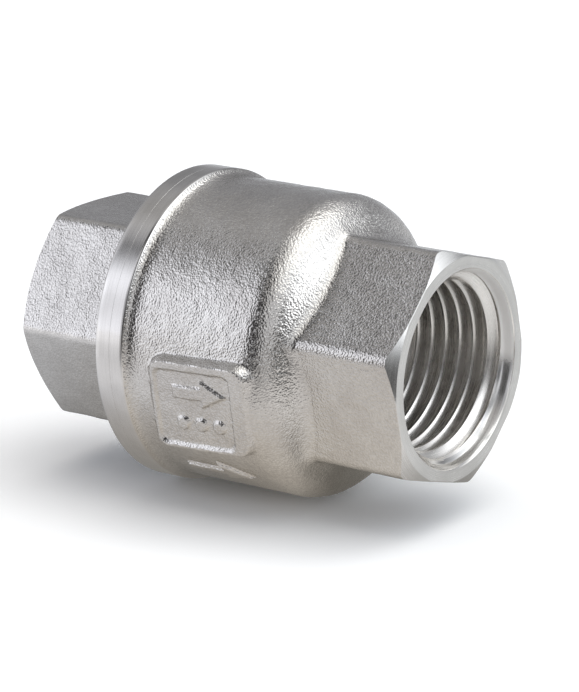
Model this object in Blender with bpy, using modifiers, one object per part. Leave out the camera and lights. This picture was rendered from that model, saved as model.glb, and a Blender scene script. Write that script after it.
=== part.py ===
"""In-line spring check valve, DN15, G 1/2 female at both ends.

World axes: X runs along the valve, from the inlet (-X) to the outlet (+X); Z is up.
The origin is on the valve's axis, halfway along its overall length.
Lengths in the constants are millimetres; MM turns them into metres. Positions along X in the
constants run from the joint plane, where the inlet cap meets the body, and the assembly at the
end moves every piece so that the origin is halfway along.
"""

import math

import bmesh
import bpy
from mathutils import Matrix, Vector

MM = 0.001
STEPS = 48            # facets round a large turned piece
FINE_STEPS = 32       # facets round a small turned piece
WELD = 0.00001

# ---- Overall lengths, from the joint plane ----
OUTLET_X = 33.7       # outlet end face
INLET_X = -16.45      # inlet end face
JOINT_GAP = 0.15      # half the gap between the cap's flange and the body

# ---- Flange and body envelope ----
FLANGE_R = 17.5
FLANGE_LEFT_X = -2.03
RIM_RIGHT_X = 1.71
FILLET_END_X = 3.1
BODY_R = 16.75
SHOULDER_X = 16.9     # the cylinder turns into the shoulder here
SHOULDER_R = 4.2      # radius of the shoulder
SHOULDER_ANGLE = 60.0 # the cone's slope after the shoulder
NECK_R = 11.0

# ---- Hexagons (distance across flats, and the direction of flat 0 from +Y towards +Z) ----
OUTLET_AF = 24.3
OUTLET_PHASE = 73.3
OUTLET_FACE_R = 12.28
INLET_AF = 23.1
INLET_PHASE = 90.0
INLET_FACE_R = 11.45
CHAMFER_ANGLE = 27.0

# ---- Pipe thread G 1/2: 14 threads per inch ----
THREAD_MAJOR_R = 20.955 / 2
THREAD_MINOR_R = 18.631 / 2
MOUTH_R = 10.85
MOUTH_DEPTH = 2.0
THREAD_START_DEPTH = 2.8
OUTLET_THREAD_END_X = 19.6
INLET_THREAD_END_X = -4.6

# ---- Body chamber ----
CHAMBER_R = 12.8
GUIDE_STEP_X = 18.0
GUIDE_STEP_R = 11.2
GROOVE_X = (14.45, 15.7)
GROOVE_R = 13.6
SOCKET_R = 14.7       # female thread for the cap's spigot, at its mean radius
SOCKET_END_X = 7.3

# ---- Cap spigot and seat ----
SPIGOT_R = 14.4
SPIGOT_END_X = 6.0
SPIGOT_BORE_R = 12.6
PORT_R = 7.5
SEAT_X = 1.0
SEAT_LIP_R = 8.9
SEAT_RELIEF_X = 0.2

# ---- Closing element, closed position ----
LIFT = 4.5            # travel towards the outlet
SEAT_RING = (1.3, 3.1, 2.3, 9.1)
DISC_FRONT_X = 1.8
DISC_FLOOR_X = 3.4
DISC_BACK_X = 5.1
DISC_R = 10.2
RECESS_R = 9.4
STUD_R = 2.0
STUD_BORE_R = 2.3
WASHER = (0.0, 1.0, 2.3, 6.6)
NUT_X = (-3.5, -0.3)
NUT_AF = 7.0
STEM_X = (-4.3, 20.0)
COLLAR_X = (5.4, 10.9)
COLLAR_R = 3.4
ROD_R = 2.0

# ---- Guide and spring ----
GUIDE_X = (15.8, 17.7)
HUB_END_X = 19.6
GUIDE_RIM_R = (11.0, 12.5)
HUB_FLANGE_R = 5.4
HUB_FLANGE_END_X = 16.8
HUB_R = 4.6
HUB_BORE_R = 3.0
ARM_WIDTH = 2.4
ARM_COUNT = 3
BUSH = (15.9, 19.5, 2.2, 2.8)
CIRCLIP = (14.7, 15.5, 11.6, 13.3)
SPRING_X = (5.4, 15.5)
SPRING_MEAN_R = 4.3
SPRING_WIRE_R = 0.3
SPRING_TURNS = 5.5
SPRING_POINTS = 18    # points in a turn

# ---- Raised marks cast on the body ----
TRAY_ANGLE = 193.3
TRAY_CENTRE_X = 11.3
TRAY_SIZE = (11.7, 10.3)
TRAY_CORNER_R = 1.5
TRAY_TOP = 17.1       # the rim's height above the axis
TRAY_FLOOR = 16.78
TRAY_RIM = 1.1
TRAY_ROOT = 15.2
TRAY_SLANT = (0.06, 0.05)
ARROW_ANGLE = 227.0
ARROW_X = (6.1, 11.0, 14.9)
ARROW_TOP = 17.1
ARROW_ROOT = 15.6


# ------------------------------------------------------------------ scene

for old in list(bpy.data.objects):
    bpy.data.objects.remove(old, do_unlink=True)

parts = bpy.data.collections.new("check_valve")
cutters = bpy.data.collections.new("cutters")
cutters.hide_render = True
bpy.context.scene.collection.children.link(parts)
bpy.context.scene.collection.children.link(cutters)


def material(name, colour, metallic, roughness):
    mat = bpy.data.materials.new(name)
    mat.use_nodes = True
    shader = mat.node_tree.nodes["Principled BSDF"]
    shader.inputs["Base Color"].default_value = (*colour, 1.0)
    shader.inputs["Metallic"].default_value = metallic
    shader.inputs["Roughness"].default_value = roughness
    return mat


CAST = material("cast_stainless", (0.62, 0.60, 0.58), 1.0, 0.45)
CAST_CAP = material("cast_stainless_cap", (0.60, 0.59, 0.58), 1.0, 0.45)
TURNED = material("turned_stainless", (0.70, 0.69, 0.67), 1.0, 0.25)
STAMPED = material("stamped_stainless", (0.60, 0.60, 0.60), 1.0, 0.35)
SPRING_STEEL = material("spring_steel", (0.55, 0.55, 0.56), 1.0, 0.22)
SEAL_WHITE = material("seal_ptfe", (0.86, 0.85, 0.82), 0.0, 0.5)
BUSH_GREY = material("bush_ptfe", (0.32, 0.31, 0.30), 0.0, 0.55)


def add_object(name, mesh, collection, mat=None):
    obj = bpy.data.objects.new(name, mesh)
    collection.objects.link(obj)
    if mat:
        mesh.materials.append(mat)
    if collection is cutters:
        obj.hide_render = True
        obj.display_type = "WIRE"
    return obj


def smooth(mesh, angle=35.0):
    mesh.shade_smooth()
    mesh.set_sharp_from_angle(angle=math.radians(angle))


def frozen(obj, name, collection, mat=None):
    """The object's evaluated mesh in world space, as a new object; the old one goes."""
    bpy.context.view_layer.update()
    graph = bpy.context.evaluated_depsgraph_get()
    mesh = bpy.data.meshes.new_from_object(obj.evaluated_get(graph))
    mesh.transform(obj.matrix_world)
    mesh.materials.clear()
    bm = bmesh.new()
    bm.from_mesh(mesh)
    bmesh.ops.remove_doubles(bm, verts=bm.verts, dist=WELD)
    bmesh.ops.recalc_face_normals(bm, faces=bm.faces)
    bm.to_mesh(mesh)
    bm.free()
    bpy.data.objects.remove(obj, do_unlink=True)
    return add_object(name, mesh, collection, mat)


def turned(name, profile, collection, mat=None, steps=STEPS, closed=True):
    """A solid turned about the world X axis. The profile is a list of (x, radius) in mm, and
    its outer side runs from +X to -X. A ring is a closed loop; a plug starts and ends on the axis."""
    mesh = bpy.data.meshes.new(name)
    bm = bmesh.new()
    verts = [bm.verts.new((r * MM, 0.0, x * MM)) for x, r in profile]
    for a, b in zip(verts, verts[1:]):
        bm.edges.new((a, b))
    if closed:
        bm.edges.new((verts[-1], verts[0]))
    bm.to_mesh(mesh)
    bm.free()
    obj = add_object(name, mesh, collection, mat)
    obj.rotation_euler = (0.0, math.radians(90), 0.0)
    screw = obj.modifiers.new("Turn", "SCREW")
    screw.axis = "Z"
    screw.angle = math.radians(360)
    screw.steps = screw.render_steps = steps
    screw.use_merge_vertices = True
    screw.merge_threshold = WELD
    screw.use_smooth_shade = False
    return obj


def plug(name, profile, collection, mat=None, steps=STEPS):
    """Turned solid that reaches the axis: the profile gets its two axis points."""
    full = [(profile[0][0], 0.0), *profile, (profile[-1][0], 0.0)]
    return turned(name, full, collection, mat, steps, closed=False)


def arc(cx, cr, radius, start, end, count):
    """Points on an arc in the (x, radius) plane; angles in degrees from +X."""
    points = []
    for i in range(count + 1):
        a = math.radians(start + (end - start) * i / count)
        points.append((cx + radius * math.cos(a), cr + radius * math.sin(a)))
    return points


def boolean(obj, other, operation):
    mod = obj.modifiers.new(operation.title() + "_" + other.name, "BOOLEAN")
    mod.operation = operation
    mod.object = other
    mod.solver = "EXACT"
    return mod


def hex_prism(name, across_flats, phase, x0, x1, collection, mat=None):
    """Hexagonal prism along X. Flat 0 looks along the phase angle, from +Y towards +Z."""
    bm = bmesh.new()
    bmesh.ops.create_cone(
        bm, cap_ends=True, cap_tris=False, segments=6,
        radius1=across_flats / math.sqrt(3) * MM, radius2=across_flats / math.sqrt(3) * MM,
        depth=abs(x1 - x0) * MM,
    )
    # A vertex starts on local +X, so the first flat's normal is at 30 degrees.
    to_x = Matrix.Rotation(math.radians(90), 4, "Y")
    bmesh.ops.transform(bm, matrix=to_x, verts=bm.verts)
    bm.verts.ensure_lookup_table()
    now = math.degrees(math.atan2(bm.verts[0].co.z, bm.verts[0].co.y))
    turn = Matrix.Rotation(math.radians(phase + 30.0 - now), 4, "X")
    bmesh.ops.transform(bm, matrix=turn, verts=bm.verts)
    mesh = bpy.data.meshes.new(name)
    bm.to_mesh(mesh)
    bm.free()
    obj = add_object(name, mesh, collection, mat)
    obj.location = ((x0 + x1) / 2 * MM, 0.0, 0.0)
    return obj


def rounded_outline(width, height, radius, slant=(0.0, 0.0), count=4):
    """Corner points of a rounded rectangle, anticlockwise, slightly slanted."""
    points = []
    for cx, cy, start in (
        (width / 2 - radius, height / 2 - radius, 0),
        (-width / 2 + radius, height / 2 - radius, 90),
        (-width / 2 + radius, -height / 2 + radius, 180),
        (width / 2 - radius, -height / 2 + radius, 270),
    ):
        for i in range(count + 1):
            a = math.radians(start + 90 * i / count)
            points.append((cx + radius * math.cos(a), cy + radius * math.sin(a)))
    return [(u + slant[0] * v, v + slant[1] * u) for u, v in points]


def side_frame(angle, x):
    """Matrix whose local X is world X, local Z points away from the axis at the angle."""
    a = math.radians(angle)
    out = Vector((0.0, math.cos(a), math.sin(a)))
    along = Vector((1.0, 0.0, 0.0))
    up = out.cross(along)
    frame = Matrix((along, up, out)).transposed().to_4x4()
    frame.translation = Vector((x * MM, 0.0, 0.0))
    return frame


def raised(name, outline, angle, x, low, high):
    """A flat outline (mm, in the side frame) pushed out from low to high above the axis."""
    curve = bpy.data.curves.new(name + "_outline", "CURVE")
    curve.dimensions = "2D"
    curve.fill_mode = "BOTH"
    spline = curve.splines.new("POLY")
    spline.points.add(len(outline) - 1)
    for point, (u, v) in zip(spline.points, outline):
        point.co = (u * MM, v * MM, 0.0, 1.0)
    spline.use_cyclic_u = True
    curve.extrude = (high - low) / 2 * MM
    obj = bpy.data.objects.new(name + "_curve", curve)
    cutters.objects.link(obj)
    obj.hide_render = True
    shift = Matrix.Translation(Vector((0.0, 0.0, (high + low) / 2 * MM)))
    obj.matrix_world = side_frame(angle, x) @ shift
    return frozen(obj, name, cutters)


# ------------------------------------------------------------------ body

chamfer_depth = (OUTLET_AF / math.sqrt(3) - OUTLET_FACE_R + 1.0) * math.tan(math.radians(CHAMFER_ANGLE))
outlet_hex = hex_prism("outlet_hex", OUTLET_AF, OUTLET_PHASE, 18.6, OUTLET_X, cutters)
outlet_cone = plug(
    "outlet_cone",
    [
        (OUTLET_X + 0.5, OUTLET_FACE_R - 0.5 / math.tan(math.radians(CHAMFER_ANGLE))),
        (OUTLET_X - chamfer_depth, OUTLET_AF / math.sqrt(3) + 1.0),
        (18.0, OUTLET_AF / math.sqrt(3) + 1.0),
    ],
    cutters,
)
boolean(outlet_hex, outlet_cone, "INTERSECT")

shoulder = arc(SHOULDER_X, BODY_R - SHOULDER_R, SHOULDER_R, 90 - SHOULDER_ANGLE, 90, 5)
cone_x = shoulder[0][0] + (shoulder[0][1] - NECK_R) / math.tan(math.radians(SHOULDER_ANGLE))
body = plug(
    "body",
    [
        (cone_x, NECK_R),
        *shoulder,
        (FILLET_END_X, BODY_R),
        (FILLET_END_X - 0.8, BODY_R + 0.1),
        (RIM_RIGHT_X + 0.15, BODY_R + 0.35),
        (RIM_RIGHT_X, FLANGE_R),
        (JOINT_GAP, FLANGE_R),
    ],
    parts,
    CAST,
)
boolean(body, outlet_hex, "UNION")

# The raised tray: a flat pad, then its recess is cut, leaving a rim.
tray = raised("tray_pad", rounded_outline(*TRAY_SIZE, TRAY_CORNER_R, TRAY_SLANT),
              TRAY_ANGLE, TRAY_CENTRE_X, TRAY_ROOT, TRAY_TOP)
tray_recess = raised(
    "tray_recess",
    rounded_outline(TRAY_SIZE[0] - 2 * TRAY_RIM, TRAY_SIZE[1] - 2 * TRAY_RIM, TRAY_CORNER_R - 0.4, TRAY_SLANT),
    TRAY_ANGLE, TRAY_CENTRE_X, TRAY_FLOOR, TRAY_TOP + 2.0,
)
boolean(body, tray, "UNION")
boolean(body, tray_recess, "DIFFERENCE")

# Inside the tray: a plain flow arrow over a row of three round dots.
chevron = raised(
    "tray_arrow",
    [(-3.4, 0.95), (0.4, 0.95), (0.4, 0.05), (3.5, 1.7), (0.4, 3.35), (0.4, 2.45), (-3.4, 2.45)],
    TRAY_ANGLE, TRAY_CENTRE_X, TRAY_FLOOR - 0.6, TRAY_TOP - 0.05,
)
boolean(body, chevron, "UNION")
for i in range(3):
    dot = raised(
        f"tray_dot_{i + 1}",
        [(2.4 * (i - 1) + 0.75 * math.cos(t * math.pi / 6), 0.75 * math.sin(t * math.pi / 6) - 2.1) for t in range(12)],
        TRAY_ANGLE, TRAY_CENTRE_X, TRAY_FLOOR - 0.6, TRAY_TOP - 0.05,
    )
    boolean(body, dot, "UNION")

# The cast flow arrow below the tray.
tail, neck, tip = (x - ARROW_X[0] for x in ARROW_X)
flow_arrow = raised(
    "flow_arrow",
    [(0.0, -0.45), (neck, -0.45), (neck - 0.4, -1.55), (tip, 0.0), (neck - 0.4, 1.55), (neck, 0.45), (0.0, 0.45)],
    ARROW_ANGLE, ARROW_X[0], ARROW_ROOT, ARROW_TOP,
)
boolean(body, flow_arrow, "UNION")

body_bore = plug(
    "body_bore",
    [
        (OUTLET_X + 1.0, MOUTH_R + 0.18),
        (OUTLET_X, MOUTH_R),
        (OUTLET_X - MOUTH_DEPTH, THREAD_MAJOR_R),
        (OUTLET_X - THREAD_START_DEPTH, THREAD_MINOR_R),
        (OUTLET_THREAD_END_X, THREAD_MINOR_R),
        (OUTLET_THREAD_END_X - 1.0, GUIDE_STEP_R),
        (GUIDE_STEP_X, GUIDE_STEP_R),
        (GUIDE_STEP_X, CHAMBER_R),
        (GROOVE_X[1], CHAMBER_R),
        (GROOVE_X[1], GROOVE_R),
        (GROOVE_X[0], GROOVE_R),
        (GROOVE_X[0], CHAMBER_R),
        (SOCKET_END_X, CHAMBER_R),
        (SOCKET_END_X, SOCKET_R),
        (JOINT_GAP + 0.6, SOCKET_R),
        (JOINT_GAP, SOCKET_R + 0.5),
        (JOINT_GAP - 1.0, SOCKET_R + 0.5),
    ],
    cutters,
)
boolean(body, body_bore, "DIFFERENCE")

# ------------------------------------------------------------------ end cap

cap_chamfer_depth = (INLET_AF / math.sqrt(3) - INLET_FACE_R + 1.0) * math.tan(math.radians(CHAMFER_ANGLE))
inlet_hex = hex_prism("inlet_hex", INLET_AF, INLET_PHASE, INLET_X, -1.0, cutters)
inlet_cone = plug(
    "inlet_cone",
    [
        (0.5, INLET_AF / math.sqrt(3) + 1.0),
        (INLET_X + cap_chamfer_depth, INLET_AF / math.sqrt(3) + 1.0),
        (INLET_X - 0.5, INLET_FACE_R - 0.5 / math.tan(math.radians(CHAMFER_ANGLE))),
    ],
    cutters,
)
boolean(inlet_hex, inlet_cone, "INTERSECT")

end_cap = plug(
    "end_cap",
    [
        (SPIGOT_END_X, SPIGOT_R - 0.6),
        (SPIGOT_END_X - 0.6, SPIGOT_R),
        (-JOINT_GAP, SPIGOT_R),
        (-JOINT_GAP, FLANGE_R),
        (FLANGE_LEFT_X + 0.35, FLANGE_R),
        (FLANGE_LEFT_X, FLANGE_R - 0.35),
    ],
    parts,
    CAST_CAP,
)
boolean(end_cap, inlet_hex, "UNION")

cap_bore = plug(
    "cap_bore",
    [
        (SPIGOT_END_X + 1.0, SPIGOT_BORE_R),
        (SEAT_RELIEF_X, SPIGOT_BORE_R),
        (SEAT_RELIEF_X, SEAT_LIP_R),
        (SEAT_X, SEAT_LIP_R),
        (SEAT_X, PORT_R),
        (INLET_THREAD_END_X + 1.0, PORT_R),
        (INLET_THREAD_END_X, THREAD_MINOR_R),
        (INLET_X + THREAD_START_DEPTH, THREAD_MINOR_R),
        (INLET_X + MOUTH_DEPTH, THREAD_MAJOR_R),
        (INLET_X, MOUTH_R),
        (INLET_X - 1.0, MOUTH_R + 0.18),
    ],
    cutters,
)
boolean(end_cap, cap_bore, "DIFFERENCE")


# ------------------------------------------------------------------ rings and discs

def ring(name, x0, x1, r0, r1, mat, edge=0.0, steps=STEPS):
    """Flat ring from x0 to x1, with broken outer edges."""
    loop = [(x1, r0), (x1, r1 - edge), (x1 - edge, r1), (x0 + edge, r1), (x0, r1 - edge), (x0, r0)]
    if not edge:
        loop = [(x1, r0), (x1, r1), (x0, r1), (x0, r0)]
    return turned(name, loop, parts, mat, steps)


ring("body_gasket", 6.3, 7.0, 13.0, 14.4, SEAL_WHITE)
ring("seat_ring", *SEAT_RING, SEAL_WHITE, steps=40)
ring("seat_ring_washer", *WASHER, STAMPED, edge=0.25, steps=40)
ring("guide_bush", *BUSH, BUSH_GREY, steps=FINE_STEPS)

turned(
    "valve_disc",
    [
        (DISC_BACK_X, STUD_BORE_R),
        (DISC_BACK_X, 5.6),
        (DISC_BACK_X - 0.7, 9.4),
        (DISC_BACK_X - 1.3, DISC_R),
        (DISC_FRONT_X + 0.4, DISC_R),
        (DISC_FRONT_X, DISC_R - 0.35),
        (DISC_FRONT_X, RECESS_R),
        (DISC_FLOOR_X, RECESS_R),
        (DISC_FLOOR_X, STUD_BORE_R),
    ],
    parts,
    TURNED,
    steps=40,
)

plug(
    "guide_stem",
    [
        (STEM_X[1], ROD_R - 0.5),
        (STEM_X[1] - 0.5, ROD_R),
        (COLLAR_X[1], ROD_R),
        (COLLAR_X[1], COLLAR_R - 0.3),
        (COLLAR_X[1] - 0.3, COLLAR_R),
        (COLLAR_X[0], COLLAR_R),
        (COLLAR_X[0], STUD_R),
        (STEM_X[0] + 0.4, STUD_R),
        (STEM_X[0], STUD_R - 0.4),
    ],
    parts,
    TURNED,
    steps=24,
)

nut = hex_prism("seat_ring_nut", NUT_AF, 90.0, NUT_X[0], NUT_X[1], parts, TURNED)
nut_cone = plug(
    "nut_cone",
    [
        (NUT_X[1] + 0.1, 4.6),
        (NUT_X[0] + 0.55, 4.6),
        (NUT_X[0] - 0.1, 3.35),
    ],
    cutters,
    steps=FINE_STEPS,
)
nut_bore = plug("nut_bore", [(NUT_X[1] + 1.0, STUD_BORE_R), (NUT_X[0] - 1.0, STUD_BORE_R)], cutters, steps=24)
boolean(nut, nut_cone, "INTERSECT")
boolean(nut, nut_bore, "DIFFERENCE")

# ------------------------------------------------------------------ guide

guide = turned(
    "guide_spider",
    [
        (GUIDE_X[1], GUIDE_RIM_R[0]),
        (GUIDE_X[1], GUIDE_RIM_R[1]),
        (GUIDE_X[0], GUIDE_RIM_R[1]),
        (GUIDE_X[0], GUIDE_RIM_R[0]),
    ],
    parts,
    STAMPED,
)
hub = plug(
    "guide_hub",
    [
        (HUB_END_X, HUB_R - 0.4),
        (HUB_END_X - 0.4, HUB_R),
        (HUB_FLANGE_END_X, HUB_R),
        (HUB_FLANGE_END_X, HUB_FLANGE_R),
        (GUIDE_X[0], HUB_FLANGE_R),
    ],
    cutters,
    steps=FINE_STEPS,
)
for i in range(ARM_COUNT):
    a = 90.0 + 360.0 * i / ARM_COUNT
    arm_mesh = bpy.data.meshes.new(f"guide_arm_{i + 1}")
    bm = bmesh.new()
    bmesh.ops.create_cube(bm, size=1.0)
    length = GUIDE_RIM_R[0] + 0.6 - (HUB_BORE_R + 0.9)
    size = ((GUIDE_X[1] - GUIDE_X[0] - 0.3) * MM, length * MM, ARM_WIDTH * MM)
    bmesh.ops.scale(bm, vec=size, verts=bm.verts)
    centre = (HUB_BORE_R + 0.9 + length / 2) * MM
    place = Matrix.Rotation(math.radians(a), 4, "X") @ Matrix.Translation(
        Vector(((GUIDE_X[0] + GUIDE_X[1]) / 2 * MM, centre, 0.0))
    )
    bmesh.ops.transform(bm, matrix=place, verts=bm.verts)
    bm.to_mesh(arm_mesh)
    bm.free()
    boolean(guide, add_object(f"guide_arm_{i + 1}", arm_mesh, cutters), "UNION")
boolean(guide, hub, "UNION")
hub_bore = plug("hub_bore", [(HUB_END_X + 1.0, HUB_BORE_R), (GUIDE_X[0] - 1.0, HUB_BORE_R)], cutters, steps=FINE_STEPS)
boolean(guide, hub_bore, "DIFFERENCE")

# Internal retaining ring: open at the bottom, with two drilled lugs.
circlip = turned(
    "guide_circlip",
    [
        (CIRCLIP[1], CIRCLIP[2]),
        (CIRCLIP[1], CIRCLIP[3]),
        (CIRCLIP[0], CIRCLIP[3]),
        (CIRCLIP[0], CIRCLIP[2]),
    ],
    parts,
    SPRING_STEEL,
)
gap_mesh = bpy.data.meshes.new("circlip_gap")
bm = bmesh.new()
bmesh.ops.create_cube(bm, size=1.0)
bmesh.ops.scale(bm, vec=(3.0 * MM, 3.4 * MM, 5.0 * MM), verts=bm.verts)
bmesh.ops.translate(bm, vec=((CIRCLIP[0] + CIRCLIP[1]) / 2 * MM, 0.0, -CIRCLIP[3] * MM), verts=bm.verts)
bm.to_mesh(gap_mesh)
bm.free()
boolean(circlip, add_object("circlip_gap", gap_mesh, cutters), "DIFFERENCE")
for side, sign in (("left", -1), ("right", 1)):
    a = math.radians(270.0 + sign * 14.0)
    centre = Vector(((CIRCLIP[0] + CIRCLIP[1]) / 2, 11.6 * math.cos(a), 11.6 * math.sin(a))) * MM
    for kind, radius, operation, extra in (("lug", 1.15, "UNION", 0.0), ("eye", 0.55, "DIFFERENCE", 2.0)):
        mesh = bpy.data.meshes.new(f"circlip_{kind}_{side}")
        bm = bmesh.new()
        bmesh.ops.create_cone(bm, cap_ends=True, segments=16, radius1=radius * MM, radius2=radius * MM,
                              depth=(CIRCLIP[1] - CIRCLIP[0] + extra) * MM)
        bmesh.ops.transform(bm, matrix=Matrix.Translation(centre) @ Matrix.Rotation(math.radians(90), 4, "Y"), verts=bm.verts)
        bm.to_mesh(mesh)
        bm.free()
        boolean(circlip, add_object(f"circlip_{kind}_{side}", mesh, cutters), operation)

# ------------------------------------------------------------------ spring

coil = bpy.data.curves.new("closing_spring_path", "CURVE")
coil.dimensions = "3D"
coil.bevel_depth = SPRING_WIRE_R * MM
coil.bevel_resolution = 2
coil.use_fill_caps = True
count = int(SPRING_TURNS * SPRING_POINTS)
spline = coil.splines.new("POLY")
spline.points.add(count)
start, end = SPRING_X[0] + SPRING_WIRE_R, SPRING_X[1] - SPRING_WIRE_R
closed_pitch = 2.15 * SPRING_WIRE_R
for i, point in enumerate(spline.points):
    turn = SPRING_TURNS * i / count
    # One near-closed turn at each end, and an even pitch between them.
    free = (end - start) - 2 * closed_pitch
    if turn <= 1.0:
        x = start + closed_pitch * turn
    elif turn >= SPRING_TURNS - 1.0:
        x = end - closed_pitch * (SPRING_TURNS - turn)
    else:
        x = start + closed_pitch + free * (turn - 1.0) / (SPRING_TURNS - 2.0)
    a = 2 * math.pi * turn
    point.co = (x * MM, SPRING_MEAN_R * math.cos(a) * MM, SPRING_MEAN_R * math.sin(a) * MM, 1.0)
coil_object = bpy.data.objects.new("closing_spring_curve", coil)
cutters.objects.link(coil_object)
coil_object.hide_render = True
spring = frozen(coil_object, "closing_spring", parts, SPRING_STEEL)
smooth(spring.data, 60.0)

# ------------------------------------------------------------------ assembly

MID_X = (OUTLET_X + INLET_X) / 2


def assembly(name, members):
    """An empty on the valve's axis, at the joint plane, carrying the given objects."""
    empty = bpy.data.objects.new(name, None)
    empty.empty_display_type = "ARROWS"
    empty.empty_display_size = 0.01
    parts.objects.link(empty)
    empty.location = (-MID_X * MM, 0.0, 0.0)
    for obj in members:
        obj.parent = empty


MOVING = ("valve_disc", "seat_ring", "seat_ring_washer", "seat_ring_nut", "guide_stem")
pieces = [obj for obj in parts.objects if obj.type != "EMPTY"]
assembly("closing_element_frame", [obj for obj in pieces if obj.name in MOVING])
assembly("housing_frame", [obj for obj in pieces if obj.name not in MOVING] + list(cutters.objects))
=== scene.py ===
"""In-line check valve: a cast body with an outlet hexagon, a screwed-in inlet cap, and inside them
a sprung closing disc on a stem. The flow axis is X, with the outlet towards +X and +Z up.
Lengths are in millimetres from the joint of body and cap. The frame's origin is at MID_X."""
import math
from contextlib import contextmanager

import bmesh
import bpy
import numpy as np
from mathutils import Matrix, Vector, noise


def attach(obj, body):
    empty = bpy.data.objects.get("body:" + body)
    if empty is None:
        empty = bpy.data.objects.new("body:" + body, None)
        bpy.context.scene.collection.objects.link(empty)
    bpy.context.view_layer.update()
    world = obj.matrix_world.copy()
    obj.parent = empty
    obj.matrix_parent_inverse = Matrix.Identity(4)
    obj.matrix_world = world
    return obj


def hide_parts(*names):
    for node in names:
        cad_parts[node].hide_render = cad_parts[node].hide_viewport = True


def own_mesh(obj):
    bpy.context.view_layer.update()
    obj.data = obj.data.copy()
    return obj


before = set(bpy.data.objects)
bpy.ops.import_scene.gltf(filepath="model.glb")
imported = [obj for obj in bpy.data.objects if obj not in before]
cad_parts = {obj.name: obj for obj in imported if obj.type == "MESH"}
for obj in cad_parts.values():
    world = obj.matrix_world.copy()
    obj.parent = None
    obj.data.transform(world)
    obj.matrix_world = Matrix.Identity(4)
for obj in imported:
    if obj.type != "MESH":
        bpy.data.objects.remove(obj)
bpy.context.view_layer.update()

MM = 0.001
TAU = 2 * math.pi
RAD = math.pi / 180

# ------------------------------------------------------------------ main sizes

OUT_X, IN_X = 33.7, -16.45        # end faces
MID_X = (OUT_X + IN_X) / 2
SEAM = 0.005                      # half of the gap at the joint
FLANGE_R, FLANGE_X = 17.5, -2.03  # flange radius, and the cap flange's back face
BODY_R, SHOULDER_X, SHOULDER_R, SLOPE = 16.75, 16.9, 4.2, 60.0
# Hexagons: half across flats, angle of a flat's middle, radius of the end face, corner radius.
OUT_FLAT, OUT_PHASE, OUT_FACE, OUT_ROUND = 24.3 / 2, 73.3, 12.28, 1.5
IN_FLAT, IN_PHASE, IN_FACE, IN_ROUND = 23.1 / 2, 90.0, 11.45, 1.2
CHAMFER = math.tan(27 * RAD)
# Pipe thread: root radius, crest radius, pitch.
MAJOR, MINOR, PITCH = 20.955 / 2, 18.631 / 2, 25.4 / 14
MOUTH, MOUTH_EDGE, MOUTH_TAPER = 10.85, 0.10, 0.35
MOUTH_DEPTHS = (0.4, 0.75, 1.04)
# Thread between body and cap, M30 x 1.5.
JOINT_PITCH, JOINT_START = 1.5, 3.0
SOCKET_MINOR, SOCKET_R = 14.22, 15.05
SPIGOT_MINOR, SPIGOT_MAJOR = 14.10, 14.93
# Unevenness of the castings: height and grain size.
UNEVEN_HEIGHT, UNEVEN_SIZE = 0.045, 3.2
SPRING_FROM, SPRING_TO = 5.4, 15.5


# ------------------------------------------------------------------ small maths

def smooth_min(first, second, width):
    blend = np.clip(0.5 + 0.5 * (second - first) / width, 0, 1)
    return second * (1 - blend) + first * blend - width * blend * (1 - blend)


def smooth_max(first, second, width):
    return -smooth_min(-first, -second, width)


def step(start, end, value):
    """Smooth rise from 0 at start to 1 at end."""
    part = np.clip((value - start) / (end - start), 0, 1)
    return part * part * (3 - 2 * part)


def hexagon(theta, half_flats, phase, round_radius):
    """Radius of a hexagon with rounded corners, at each angle."""
    from_flat = np.mod(theta - phase * RAD + math.pi / 6, math.pi / 3) - math.pi / 6
    flat = half_flats / np.cos(from_flat)
    centre = (half_flats - round_radius) / math.cos(math.pi / 6)
    from_corner = math.pi / 6 - np.abs(from_flat)
    square = round_radius ** 2 - (centre * np.sin(from_corner)) ** 2
    corner = centre * np.cos(from_corner) + np.sqrt(np.maximum(square, 0))
    edge = math.atan((half_flats - round_radius) * math.tan(math.pi / 6) / half_flats)
    return np.where(np.abs(from_flat) > edge, corner, flat)


def box_distance(x, y, width, height, radius):
    """Signed distance to a rounded rectangle, negative inside."""
    over_x = np.abs(x) - width / 2 + radius
    over_y = np.abs(y) - height / 2 + radius
    outside = np.hypot(np.maximum(over_x, 0), np.maximum(over_y, 0))
    return outside + np.minimum(np.maximum(over_x, over_y), 0) - radius


def polygon_distance(x, y, points):
    """Signed distance to a polygon, negative inside."""
    distance = np.full(np.broadcast(x, y).shape, 1e9)
    inside = np.zeros(distance.shape, bool)
    for i, (x0, y0) in enumerate(points):
        x1, y1 = points[(i + 1) % len(points)]
        run, rise = x1 - x0, y1 - y0
        from_x, from_y = x - x0, y - y0
        along = np.clip((from_x * run + from_y * rise) / (run * run + rise * rise), 0, 1)
        distance = np.minimum(distance, np.hypot(from_x - run * along, from_y - rise * along))
        crosses = ((y0 <= y) & (y1 > y)) | ((y1 <= y) & (y0 > y))
        crossing = x0 + (y - y0) / (rise if rise != 0 else 1e-9) * run
        inside ^= crosses & (x < crossing)
    return np.where(inside, -distance, distance)


def angles(base, zones):
    """Angles round the axis: base degrees apart, and closer in each (from, to, step) zone."""
    grid = 0.02
    fine = np.arange(0, 360, grid)
    size = np.full(fine.shape, base)
    for start, end, spacing in zones:
        inside = np.mod(fine - start, 360) <= np.mod(end - start, 360)
        size = np.where(inside, np.minimum(size, spacing), size)
    # Soften each change of spacing.
    kernel = np.hanning(151)
    kernel /= kernel.sum()
    wrapped = np.concatenate([size[-75:], size, size[:75]])
    size = np.minimum(size, np.convolve(wrapped, kernel, "valid"))
    total = np.concatenate([[0], np.cumsum(grid / size)])
    count = int(round(total[-1]))
    at = np.interp(np.arange(count) * total[-1] / count, total, np.append(fine, 360))
    return at * RAD


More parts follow.
